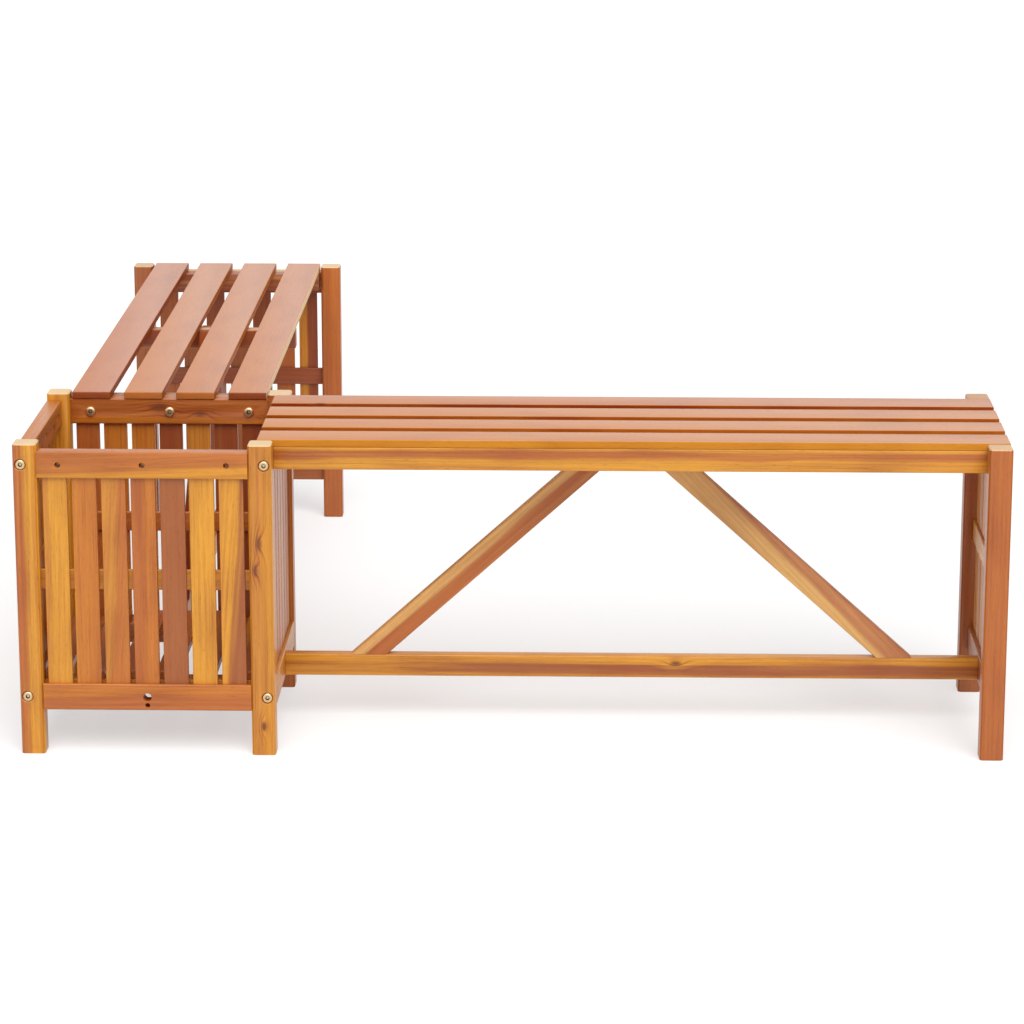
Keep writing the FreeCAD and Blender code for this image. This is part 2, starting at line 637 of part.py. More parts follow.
def make_brace(bench, name, side):
    body = new_body(f"{bench}_brace_{name}")
    stock = pad(body, brace_outline(body, side), "dim.stretcher_thickness", middle=True)
    long_edges = [f"Edge{number}" for number, edge in enumerate(stock.Shape.Edges, start=1)
                  if min(extent(edge).x, extent(edge).z) > FLAT]
    ease(body, stock, long_edges, "dim.edge_ease")
    add_box(body, "foot_tenon",
            (f"{side} * calc.brace_foot_middle", "0", "dim.fit_play - dim.brace_tenon_length"),
            "dim.brace_tenon_width", "dim.brace_tenon_thickness",
            "dim.brace_tenon_length - dim.fit_play")
    run = "(dim.brace_tenon_length - dim.fit_play)"
    add_box(body, "head_tenon",
            (f"{side} * (dim.cross_rail_width - {run}) / 2", "0",
             "calc.brace_head_middle - dim.brace_tenon_width / 2"),
            run, "dim.brace_tenon_thickness", "dim.brace_tenon_width")
    place_on_bench(body, bench, "calc.bench_middle", "calc.planter_middle", "calc.stretcher_top")


for bench in BENCHES:
    for number in range(1, int(value("dim.seat_slat_count")) + 1):
        make_seat_slat(bench, number)
    make_cross_rail(bench, "near", "calc.bench_start + dim.cross_rail_width / 2")
    make_cross_rail(bench, "middle", "calc.bench_middle")
    make_cross_rail(bench, "far", "calc.bench_end - dim.cross_rail_width / 2")
    make_apron(bench)
    make_stretcher(bench)
    make_brace(bench, "near", -1)
    make_brace(bench, "far", 1)


# Fasteners. Bolts of one kind lie all over the planter, so each kind is one group of separate solids.

def bolt(length):
    """Lies along z with the underside of its head at z = 0 and a hexagon socket in the head."""
    head_height = value("dim.bolt_head_height")
    head = Part.makeCylinder(value("dim.bolt_head_diameter / 2"), head_height,
                             Vector(0, 0, -head_height))
    shank = Part.makeCylinder(value("dim.bolt_diameter / 2"), value(length))
    corner = value("dim.socket_width") / 3 ** 0.5
    turn = Rotation(Vector(0, 0, 1), 60)
    points = [Vector(corner, 0, -head_height)]
    for _ in range(6):
        points.append(turn.multVec(points[-1]))
    socket = Part.Face(Part.makePolygon(points)).extrude(Vector(0, 0, value("dim.socket_depth")))
    return head.fuse(shank).cut(socket).removeSplitter()


def bolt_group(label, shape, spots):
    """spots are the seats of the heads, from the planter's outer corner, and the way they point."""
    corner = value("calc.corner")
    bolts = []
    for seat, direction in spots:
        x, y, z = (value(part) for part in seat)
        copy = shape.copy()
        copy.Placement = FreeCAD.Placement(Vector(corner + x, corner + y, z), DIRECTIONS[direction])
        bolts.append(copy)
    group = doc.addObject("Part::Feature", label)
    group.Label = label
    group.Shape = Part.makeCompound(bolts)
    sub_parts.append(group)


corner_bolt_spots = []
for x in ("calc.rail_middle", "dim.planter_width - calc.rail_middle"):
    for z in RAIL_MIDDLES:
        corner_bolt_spots.append(((x, "dim.counterbore_depth", z), "+y"))

joining_bolt_spots = []
for bolt_place in BOLT_PLACES:
    along = "dim.planter_width - dim.rail_thickness"
    across = f"calc.planter_middle + {bolt_place}"
    joining_bolt_spots.append(((along, across, "calc.top_rail_middle"), "+x"))
    joining_bolt_spots.append(((across, along, "calc.top_rail_middle"), "+y"))

bolt_group("corner_bolts", bolt("dim.corner_bolt_length"), corner_bolt_spots)
bolt_group("joining_bolts", bolt("dim.joining_bolt_length"), joining_bolt_spots)


# Tests and files

def check_document():
    doc.recompute()
    for thing in doc.Objects:
        if "Invalid" in thing.State or "Error" in thing.State:
            raise RuntimeError(f"{thing.Label} could not be built: {thing.State}")
    for part in sub_parts:
        if part.Shape.isNull() or not part.Shape.isValid():
            raise RuntimeError(f"{part.Label} has no valid shape")


def write_files():
    os.makedirs("parts", exist_ok=True)
    for part in sub_parts:
        part.Shape.exportStep(f"parts/{part.Label}.step")
        print(f"{part.Label}: {len(part.Shape.Solids)} solids, {part.Shape.Volume:.0f} mm3")
    print(len(sub_parts), "sub-parts")


check_document()
write_files()
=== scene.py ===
# Corner bench with a planter box: oiled acacia boards, zinc-plated bolts, on a white studio floor.
# Sizes are in millimetres unless a note says otherwise; Blender's own unit is the metre.
import math
import random

import bmesh
import bpy
from mathutils import Euler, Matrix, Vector


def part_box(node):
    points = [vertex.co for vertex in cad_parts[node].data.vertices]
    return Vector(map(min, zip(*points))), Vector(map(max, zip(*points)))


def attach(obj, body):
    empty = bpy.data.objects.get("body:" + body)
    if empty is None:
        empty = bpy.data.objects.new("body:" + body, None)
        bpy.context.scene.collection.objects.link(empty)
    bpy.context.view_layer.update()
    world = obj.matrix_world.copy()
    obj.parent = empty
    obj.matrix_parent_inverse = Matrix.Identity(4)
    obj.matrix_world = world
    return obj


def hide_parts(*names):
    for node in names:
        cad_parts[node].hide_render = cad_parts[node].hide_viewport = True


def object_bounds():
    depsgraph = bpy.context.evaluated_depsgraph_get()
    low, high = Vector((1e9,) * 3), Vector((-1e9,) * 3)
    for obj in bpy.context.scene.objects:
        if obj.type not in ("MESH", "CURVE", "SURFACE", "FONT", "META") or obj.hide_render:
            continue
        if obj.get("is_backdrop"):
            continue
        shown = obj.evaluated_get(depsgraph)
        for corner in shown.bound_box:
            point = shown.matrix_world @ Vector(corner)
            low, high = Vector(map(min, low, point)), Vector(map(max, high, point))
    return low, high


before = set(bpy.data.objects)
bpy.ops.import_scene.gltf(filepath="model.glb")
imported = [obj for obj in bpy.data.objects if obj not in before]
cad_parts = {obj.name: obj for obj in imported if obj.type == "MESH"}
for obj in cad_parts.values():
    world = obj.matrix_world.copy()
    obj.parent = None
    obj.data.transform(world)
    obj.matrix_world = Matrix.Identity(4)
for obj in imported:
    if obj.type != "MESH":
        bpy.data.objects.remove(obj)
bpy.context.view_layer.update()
scene = bpy.context.scene
scene.view_settings.view_transform = "Standard"
mm = 0.001
print("frame loaded:", len(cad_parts), "CAD nodes")


# An sRGB hex code as linear red, green, blue and alpha.
def linear(code):
    channels = [int(code[i : i + 2], 16) / 255 for i in (1, 3, 5)]
    return [c / 12.92 if c <= 0.04045 else ((c + 0.055) / 1.055) ** 2.4 for c in channels] + [1.0]


def addNode(tree, kind, inputs=None, **settings):
    made = tree.nodes.new(kind)
    for name, setting in settings.items():
        setattr(made, name, setting)
    for key, given in (inputs or {}).items():
        if isinstance(key, str):
            socket = next(s for s in made.inputs if s.enabled and s.name == key)
        else:
            socket = made.inputs[key]
        if isinstance(given, bpy.types.Node):
            given = next(s for s in given.outputs if s.enabled)
        if isinstance(given, bpy.types.NodeSocket):
            tree.links.new(given, socket)
        else:
            socket.default_value = given
    return made


def addObject(name, data):
    made = bpy.data.objects.new(name, data)
    scene.collection.objects.link(made)
    return made


# The camera stands where the photograph was taken from, in front of the planter and a little to the right.
camera = {
    "place": (0.1039, -4.7236, 1.3609),  # metres
    "lookDown": 14.351,  # degrees
    "turnLeft": 1.4235,  # degrees
    "lens": 128.2,
    "farthest": 200,  # metres
}
view = addObject("camera", bpy.data.cameras.new("camera"))
view.location = camera["place"]
view.rotation_euler = Euler((math.radians(90 - camera["lookDown"]), 0, math.radians(camera["turnLeft"])))
view.data.lens = camera["lens"]
view.data.clip_end = camera["farthest"]
scene.camera = view


# Sky and sun together light a white card, flat or upright and facing the camera, at about 1.
studio = {
    "sky": 0.5,
    "sun": 2.3,
    "sunHeight": 52,  # degrees above the floor
    "sunAside": 12,  # degrees round to the right of straight ahead
    "sunSpread": 50,  # degrees, wide enough for soft shadows
    "floorHalf": 40,  # metres
    "floorColour": "#f8f8f8",
    "floorGlow": 0.5,  # share of the floor's look that is plain white light, which keeps the shadows pale
    "floorGlowStrength": 1.05,
}
white = (1, 1, 1, 1)


# The sky that lights the bench is dimmer than the white that the camera and the oiled wood see behind it.
def lightSky():
    world = bpy.data.worlds.new("whiteStudio")
    scene.world = world
    world.use_nodes = True
    tree = world.node_tree
    tree.nodes.clear()
    path = addNode(tree, "ShaderNodeLightPath").outputs
    seen = addNode(
        tree, "ShaderNodeMath", {0: path["Is Camera Ray"], 1: path["Is Glossy Ray"]}, operation="MAXIMUM"
    )
    seen = addNode(tree, "ShaderNodeMath", {0: seen, 1: path["Is Transmission Ray"]}, operation="MAXIMUM")
    sky = addNode(tree, "ShaderNodeBackground", {"Color": white, "Strength": studio["sky"]})
    backdrop = addNode(tree, "ShaderNodeBackground", {"Color": white, "Strength": 1.0})
    mix = addNode(tree, "ShaderNodeMixShader", {0: seen, 1: sky, 2: backdrop})
    addNode(tree, "ShaderNodeOutputWorld", {"Surface": mix})


def hangSun():
    sun = addObject("softSun", bpy.data.lights.new("softSun", "SUN"))
    sun.data.energy = studio["sun"]
    sun.data.angle = math.radians(studio["sunSpread"])
    up, aside = math.radians(studio["sunHeight"]), math.radians(studio["sunAside"])
    towards = Vector((math.sin(aside) * math.cos(up), -math.cos(aside) * math.cos(up), math.sin(up)))
    sun.rotation_euler = towards.to_track_quat("Z", "Y").to_euler()


def layFloor():
    half = studio["floorHalf"]
    corners = [(-half, -half, 0), (half, -half, 0), (half, half, 0), (-half, half, 0)]
    sheet = bpy.data.meshes.new("floor")
    sheet.from_pydata(corners, [], [(0, 1, 2, 3)])
    floor = addObject("floor", sheet)
    floor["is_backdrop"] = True
    paint = bpy.data.materials.new("matteWhitePaint")  # a painted studio cove: white, with no gloss at all
    paint.use_nodes = True
    tree = paint.node_tree
    tree.nodes.clear()
    path = addNode(tree, "ShaderNodeLightPath").outputs
    seen = addNode(
        tree, "ShaderNodeMath", {0: path["Is Camera Ray"], 1: path["Is Glossy Ray"]}, operation="MAXIMUM"
    )
    share = addNode(tree, "ShaderNodeMath", {0: seen, 1: studio["floorGlow"]}, operation="MULTIPLY")
    matte = addNode(tree, "ShaderNodeBsdfDiffuse", {"Color": linear(studio["floorColour"]), "Roughness": 0.5})
    glow = addNode(tree, "ShaderNodeEmission", {"Color": white, "Strength": studio["floorGlowStrength"]})
    both = addNode(tree, "ShaderNodeMixShader", {0: share, 1: matte, 2: glow})
    addNode(tree, "ShaderNodeOutputMaterial", {"Surface": both})
    sheet.materials.append(paint)


lightSky()
hangSun()
layFloor()
print("camera, light and floor made")


# Acacia: interlocked grain, yellow sapwood against orange to red-brown heartwood, open pores drawn out
# along the grain. All lengths are in the board's own frame: X runs along the grain.
acacia = {
    "ringGap": 5.5,
    "ringDepth": 0.16,  # a depth is how much a pattern darkens the wood
    "ringSharpness": 3.0,
    "bendBy": 10.0,  # how far the rings wander
    "bandShare": 1.8,  # how far the bands pull heartwood towards sapwood, or away from it
    "streakFrom": 0.42,  # where it is above this, the pattern starts to darken the wood
    "streakDepth": 0.96,
    "fibreFrom": 0.4,
    "fibreDepth": 0.66,
    "poreFrom": 0.64,
    "poreFull": 0.74,
    "poreDepth": 0.24,
    "cloudFrom": 0.45,
    "cloudDepth": 0.8,
    "boundarySoft": 2.4,  # how gradually heartwood turns to sapwood
    "boundaryLine": 0.14,
    "boundaryLineWidth": 3.12,
    "shade": "#8c380a",  # what the darker streaks lean to
    "knot": "#6e3414",
    # painted highlight: the colour towards which the post tops and one seat slat's edge are paled
    "endGrain": "#f0d3a4",  # tops of the posts, paler than the boards' faces
    "knotSwirl": 11.0,  # how far a knot pushes the rings aside
    "knotRings": 1.2,  # how much darker the rings are round a knot
    "knotReach": 4.5,  # times its own radius
    "knotStretch": 2.4,  # how much longer it reaches along the grain
    "knotCoreFrom": 0.7,  # from here to there, nearing its middle, the wood turns to the knot's tone
    "knotCoreFull": 0.95,
    "knotCoreShare": 0.85,
    "roughness": 0.34,
    "fibreRoughness": 0.16,
    "poreRoughness": 0.15,
    "fibreHeight": 0.6,
    "relief": 0.4,  # height of the bumps
    "refraction": 1.5,  # of the oil's film
    "coatRoughness": 0.25,
}
# The patterns in the wood: length along the grain, width across it, detail, roughness and starting place.
patterns = {
    "bend": (190, 26, 2.0, 0.5, 0.0),  # slow wander of the rings
    "ringFade": (300, 14, 1.0, 0.5, 0.0),  # stretches in which the rings are clear
    "band": (330, 7, 1.0, 0.5, 37.0),  # broad bands of warmer and yellower wood
    "streak": (260, 3.6, 2.0, 0.6, 0.0),
    "fibre": (34, 0.8, 3.0, 0.6, 0.0),  # real fibres are 0.02 wide and too fine to show: drawn in bundles
    "cloud": (110, 40, 1.0, 0.5, 0.0),
    "pore": (9, 0.7, 1.0, 0.5, 0.0),  # real pores are 0.2 wide and too fine to show: drawn coarser
}
knots = [  # place in metres, radius in millimetres, the axis the grain runs along
    ((-0.2972, -0.585, 0.261), 4.2, "z"),
    ((-0.3020, -0.585, 0.228), 3.4, "z"),
    ((-0.2950, -0.585, 0.036), 2.8, "z"),
    ((0.1980, -0.441, 0.0745), 3.6, "x"),
    ((-0.2400, -0.3575, 0.380), 3.0, "x"),
    ((-0.4450, -0.299, 0.3600), 6.0, "x"),
    ((-0.3950, -0.299, 0.3520), 4.0, "x"),
    ((-0.5670, -0.370, 0.3520), 3.5, "y"),
    ((-0.5670, -0.470, 0.3450), 3.0, "y"),
]


def drawPattern(tree, place, name):
    along, across, octaves, rough, start = patterns[name]
    scale = (1 / along, 1 / across, 1 / across)
    spot = addNode(
        tree, "ShaderNodeVectorMath", {0: place, 1: scale, 2: (start, 0.0, 0.0)}, operation="MULTIPLY_ADD"
    )
    noise = {"Vector": spot, "Scale": 1.0, "Detail": octaves, "Roughness": rough}
    return addNode(tree, "ShaderNodeTexNoise", noise)


# How near the closest knot is: 1 at its middle, 0 where it no longer bends the grain.
def nearestKnot(tree):
    where = addNode(tree, "ShaderNodeTexCoord").outputs["Object"]
    nearest = 0.0
    for spot, radius, axis in knots:
        size = radius * mm * acacia["knotReach"]
        reach = [1 / (size * (acacia["knotStretch"] if letter == axis else 1.0)) for letter in "xyz"]
        away = addNode(tree, "ShaderNodeVectorMath", {0: where, 1: spot}, operation="SUBTRACT")
        away = addNode(tree, "ShaderNodeVectorMath", {0: away, 1: reach}, operation="MULTIPLY")
        away = addNode(tree, "ShaderNodeVectorMath", {0: away}, operation="LENGTH").outputs["Value"]
        near = addNode(tree, "ShaderNodeMath", {0: 1.0, 1: away}, operation="SUBTRACT")
        nearest = addNode(tree, "ShaderNodeMath", {0: near, 1: nearest}, operation="MAXIMUM")
    return nearest


# Distance from the middle of the tree, bent slowly along the board.
def radiusInTree(tree, place, pith):
    bend = drawPattern(tree, place, "bend").outputs["Color"]
    by = acacia["bendBy"]
    bent = addNode(tree, "ShaderNodeVectorMath", {0: bend, 1: (0.5, 0.5, 0.5)}, operation="SUBTRACT")
    bent = addNode(
        tree, "ShaderNodeVectorMath", {0: bent, 1: (0, by, by), 2: place}, operation="MULTIPLY_ADD"
    )
    centre = addNode(tree, "ShaderNodeCombineXYZ", {"Y": pith["X"], "Z": pith["Y"]})
    apart = addNode(tree, "ShaderNodeVectorMath", {0: bent, 1: centre}, operation="SUBTRACT")
    apart = addNode(tree, "ShaderNodeVectorMath", {0: apart, 1: (0, 1, 1)}, operation="MULTIPLY")
    return addNode(tree, "ShaderNodeVectorMath", {0: apart}, operation="LENGTH").outputs["Value"]


# Rings: pale early wood rising to a thin darker line, clearer round the knots.
def drawRings(tree, place, radius, pushed):
    ring = addNode(tree, "ShaderNodeMath", {0: radius, 1: acacia["ringGap"]}, operation="DIVIDE")
    ring = addNode(tree, "ShaderNodeMath", {0: ring}, operation="FRACT")
    ring = addNode(tree, "ShaderNodeMath", {0: ring, 1: acacia["ringSharpness"]}, operation="POWER")
    clear = drawPattern(tree, place, "ringFade")
    clear = addNode(tree, "ShaderNodeMath", {0: clear, 1: acacia["ringDepth"]}, operation="MULTIPLY")
    clear = addNode(
        tree, "ShaderNodeMath", {0: pushed, 1: acacia["knotRings"], 2: clear}, operation="MULTIPLY_ADD"
    )
    return addNode(tree, "ShaderNodeMath", {0: ring, 1: clear}, operation="MULTIPLY")


def makeGrain():
    tree = bpy.data.node_groups.new("acaciaGrain", "ShaderNodeTree")
    wanted = {
        "Place": "Vector",
        "Pith": "Vector",
        "Heart": "Color",
        "Sap": "Color",
        "Figure": "Float",
        "Stain": "Float",
    }
    for name, kind in wanted.items():
        tree.interface.new_socket(name, in_out="INPUT", socket_type="NodeSocket" + kind)
    for name, kind in (("Color", "Color"), ("Roughness", "Float"), ("Height", "Float")):
        tree.interface.new_socket(name, in_out="OUTPUT", socket_type="NodeSocket" + kind)
    given = addNode(tree, "NodeGroupInput").outputs
    place = given["Place"]
    pith = addNode(tree, "ShaderNodeSeparateXYZ", {0: given["Pith"]}).outputs

    knot = nearestKnot(tree)
    pushed = addNode(tree, "ShaderNodeMath", {0: knot, 1: knot}, operation="MULTIPLY")
    radius = addNode(
        tree,
        "ShaderNodeMath",
        {0: pushed, 1: acacia["knotSwirl"], 2: radiusInTree(tree, place, pith)},
        operation="MULTIPLY_ADD",
    )
    ring = drawRings(tree, place, radius, pushed)
    named = ("band", "streak", "fibre", "cloud", "pore")
    band, streak, fibre, cloud, pore = (drawPattern(tree, place, name) for name in named)
    pore = addNode(
        tree,
        "ShaderNodeMapRange",
        {"Value": pore, "From Min": acacia["poreFrom"], "From Max": acacia["poreFull"]},
        clamp=True,
    )

    # how dark the wood is: the figure comes and goes with the board, the clouds don't
    dark = addNode(
        tree, "ShaderNodeMath", {0: streak, 1: acacia["streakFrom"]}, operation="SUBTRACT", use_clamp=True
    )
    dark = addNode(tree, "ShaderNodeMath", {0: dark, 1: acacia["streakDepth"]}, operation="MULTIPLY")
    dark = addNode(tree, "ShaderNodeMath", {0: dark, 1: ring}, operation="ADD")
    lines = addNode(
        tree, "ShaderNodeMath", {0: fibre, 1: acacia["fibreFrom"]}, operation="SUBTRACT", use_clamp=True
    )
    dark = addNode(
        tree, "ShaderNodeMath", {0: lines, 1: acacia["fibreDepth"], 2: dark}, operation="MULTIPLY_ADD"
    )
    dark = addNode(
        tree, "ShaderNodeMath", {0: pore, 1: acacia["poreDepth"], 2: dark}, operation="MULTIPLY_ADD"
    )
    dark = addNode(tree, "ShaderNodeMath", {0: dark, 1: given["Figure"]}, operation="MULTIPLY")
    patches = addNode(
        tree, "ShaderNodeMath", {0: cloud, 1: acacia["cloudFrom"]}, operation="SUBTRACT", use_clamp=True
    )
    dark = addNode(
        tree, "ShaderNodeMath", {0: patches, 1: acacia["cloudDepth"], 2: dark}, operation="MULTIPLY_ADD"
    )

    # sapwood lies outside the boundary radius, with a thin dark line where the heartwood ends
    past = addNode(tree, "ShaderNodeMath", {0: radius, 1: pith["Z"]}, operation="SUBTRACT")
    soft = acacia["boundarySoft"]
    sapwood = addNode(
        tree,
        "ShaderNodeMapRange",
        {"Value": past, "From Min": -soft, "From Max": soft},
        interpolation_type="SMOOTHSTEP",
    )
    line = addNode(tree, "ShaderNodeMath", {0: past, 1: acacia["boundaryLineWidth"]}, operation="DIVIDE")
    line = addNode(tree, "ShaderNodeMath", {0: line, 1: line}, operation="MULTIPLY")
    line = addNode(tree, "ShaderNodeMath", {0: line, 1: -1.0}, operation="MULTIPLY")
    line = addNode(tree, "ShaderNodeMath", {0: line}, operation="EXPONENT")
    dark = addNode(
        tree, "ShaderNodeMath", {0: line, 1: acacia["boundaryLine"], 2: dark}, operation="MULTIPLY_ADD"
    )
    # darker where the mark is above 0: the end grain's own tone at the ends, painted shade on the seat slats'
    # long edges
    stain = addNode(tree, "ShaderNodeMath", {0: given["Stain"], 1: 0.0}, operation="MAXIMUM")
    dark = addNode(tree, "ShaderNodeMath", {0: dark, 1: stain}, operation="ADD", use_clamp=True)

    # broad bands pull the heartwood towards the sapwood's yellow and the other way
    pull = addNode(tree, "ShaderNodeMath", {0: band, 1: 0.5}, operation="SUBTRACT")
    pull = addNode(tree, "ShaderNodeMath", {0: pull, 1: acacia["bandShare"]}, operation="MULTIPLY")
    pull = addNode(tree, "ShaderNodeMath", {0: pull, 1: given["Figure"]}, operation="MULTIPLY")
    share = addNode(tree, "ShaderNodeMath", {0: sapwood, 1: pull}, operation="ADD", use_clamp=True)
    tone = addNode(
        tree, "ShaderNodeMix", {"Factor": share, "A": given["Heart"], "B": given["Sap"]}, data_type="RGBA"
    )
    tone = addNode(
        tree, "ShaderNodeMix", {"Factor": dark, "A": tone, "B": linear(acacia["shade"])}, data_type="RGBA"
    )
    core = {
        "Value": knot,
        "From Min": acacia["knotCoreFrom"],
        "From Max": acacia["knotCoreFull"],
        "To Max": acacia["knotCoreShare"],
    }
    core = addNode(tree, "ShaderNodeMapRange", core, interpolation_type="SMOOTHSTEP")
    tone = addNode(
        tree, "ShaderNodeMix", {"Factor": core, "A": tone, "B": linear(acacia["knot"])}, data_type="RGBA"
    )

    # open pores are dull and lie a little deeper than the fibres
    rough = addNode(
        tree,
        "ShaderNodeMath",
        {0: fibre, 1: acacia["fibreRoughness"], 2: acacia["roughness"]},
        operation="MULTIPLY_ADD",
    )
    rough = addNode(
        tree, "ShaderNodeMath", {0: pore, 1: acacia["poreRoughness"], 2: rough}, operation="MULTIPLY_ADD"
    )
    height = addNode(tree, "ShaderNodeMath", {0: fibre, 1: acacia["fibreHeight"]}, operation="MULTIPLY")
    height = addNode(tree, "ShaderNodeMath", {0: pore, 1: -1.0, 2: height}, operation="MULTIPLY_ADD")
    addNode(tree, "NodeGroupOutput", {"Color": tone, "Roughness": rough, "Height": height})
    return tree


grain = makeGrain()


# The last argument names the mesh attribute that darkens the wood where it is above 0 and pales it below 0:
# darker is the end grain's own tone at the ends and painted shade on the seat slats' long edges, paler is a
# painted highlight.
def makeAcacia(name, bump, coat, gloss, stain=""):
    made = bpy.data.materials.new(name)
    made.use_nodes = True
    tree = made.node_tree
    tree.nodes.clear()
    figure = addNode(tree, "ShaderNodeGroup", node_tree=grain)
    kinds = {"Place": "Vector", "Pith": "Vector", "Heart": "Color", "Sap": "Color", "Figure": "Fac"}
    for key, output in kinds.items():
        read = addNode(tree, "ShaderNodeAttribute", attribute_name="board" + key)
        tree.links.new(read.outputs[output], figure.inputs[key])
    colour = figure.outputs["Color"]
    if stain:
        toneAndLightMark = addNode(tree, "ShaderNodeAttribute", attribute_name=stain).outputs["Fac"]
        tree.links.new(toneAndLightMark, figure.inputs["Stain"])
        # below 0 the mark paints a highlight: the wood pales towards a cream tone
        paintedHighlight = addNode(tree, "ShaderNodeMath", {0: toneAndLightMark, 1: -1.0}, operation="MULTIPLY", use_clamp=True)
        colour = addNode(
            tree,
            "ShaderNodeMix",
            {"Factor": paintedHighlight, "A": colour, "B": linear(acacia["endGrain"])},
            data_type="RGBA",
        )
    bumps = {"Strength": bump, "Distance": acacia["relief"] * mm, "Height": figure.outputs["Height"]}
    skin = {
        "Base Color": colour,
        "Roughness": figure.outputs["Roughness"],
        "IOR": acacia["refraction"],
        "Specular IOR Level": gloss,
        "Coat Weight": coat,
        "Coat Roughness": acacia["coatRoughness"],
        "Normal": addNode(tree, "ShaderNodeBump", bumps),
    }
    addNode(tree, "ShaderNodeOutputMaterial", {"Surface": addNode(tree, "ShaderNodeBsdfPrincipled", skin)})
    return made


# Planed by machine and oiled: a satin face whose open pores and fibres catch the light.
planed = makeAcacia("oiledPlanedAcacia", bump=0.5, coat=0.25, gloss=0.5)
# Sanded finer and oiled twice, to sit on: smoother, and whitish where it is seen at a low angle.
seat = makeAcacia("oiledSandedAcacia", bump=0.3, coat=0.5, gloss=0.5)
# Bored, grooved or sawn along, and left without oil: dull, with next to no reflection. The seat slats' long
# edges take it too, with painted shade between the slats and, on one slat, a painted highlight.
rough = makeAcacia("unsandedAcacia", bump=0.6, coat=0.0, gloss=0.05, stain="boardEdges")
# Sawn across and oiled: end grain soaks it up and turns dark; the post tops are drawn pale, a painted
# highlight of the light from above.
sawn = makeAcacia("oiledAcaciaEndGrain", bump=0.8, coat=0.0, gloss=0.5, stain="boardEnds")
print("acacia finishes made")


# Tones of the oiled boards, from yellow sapwood to the darkest heartwood.
tones = {
    "straw": "#e8b56a",
    "biscuit": "#ca8652",
    "honey": "#e6a02c",
    "gold": "#dd9526",
    "amber": "#d28a2e",
    "orange": "#cc7a24",
    "copper": "#c4722a",
    "rust": "#bd6a2a",
    "dusky": "#a6602e",
    "wine": "#954a24",
}


# How a board was cut: the tones of its heartwood and sapwood, the side that the sapwood is on (+1 is right,
# up or back), how far from the board's middle it begins, how far it drifts across in a metre along the
# grain, where the middle of the tree lies across and through the board if it is close, how strong the
# figure is, and how much darker (or, below 0, paler) the ends and the edges are. Darker ends are the end
# grain's own tone, and paler ends, on the post tops, are a painted highlight. Darker long edges on the seat
# slats are painted shade between the slats, and a paler one is a painted highlight.
never = 60  # sapwood that begins this far from the middle lies outside every board


def cut(heart, sap="gold", side=1, begins=never, lean=0, middle=None, figure=1.0, ends=0.15, edges=0.0):
    board = dict(heart=heart, sap=sap, side=side, begins=begins, lean=lean, middle=middle)
    return dict(board, figure=figure, ends=ends, edges=edges)


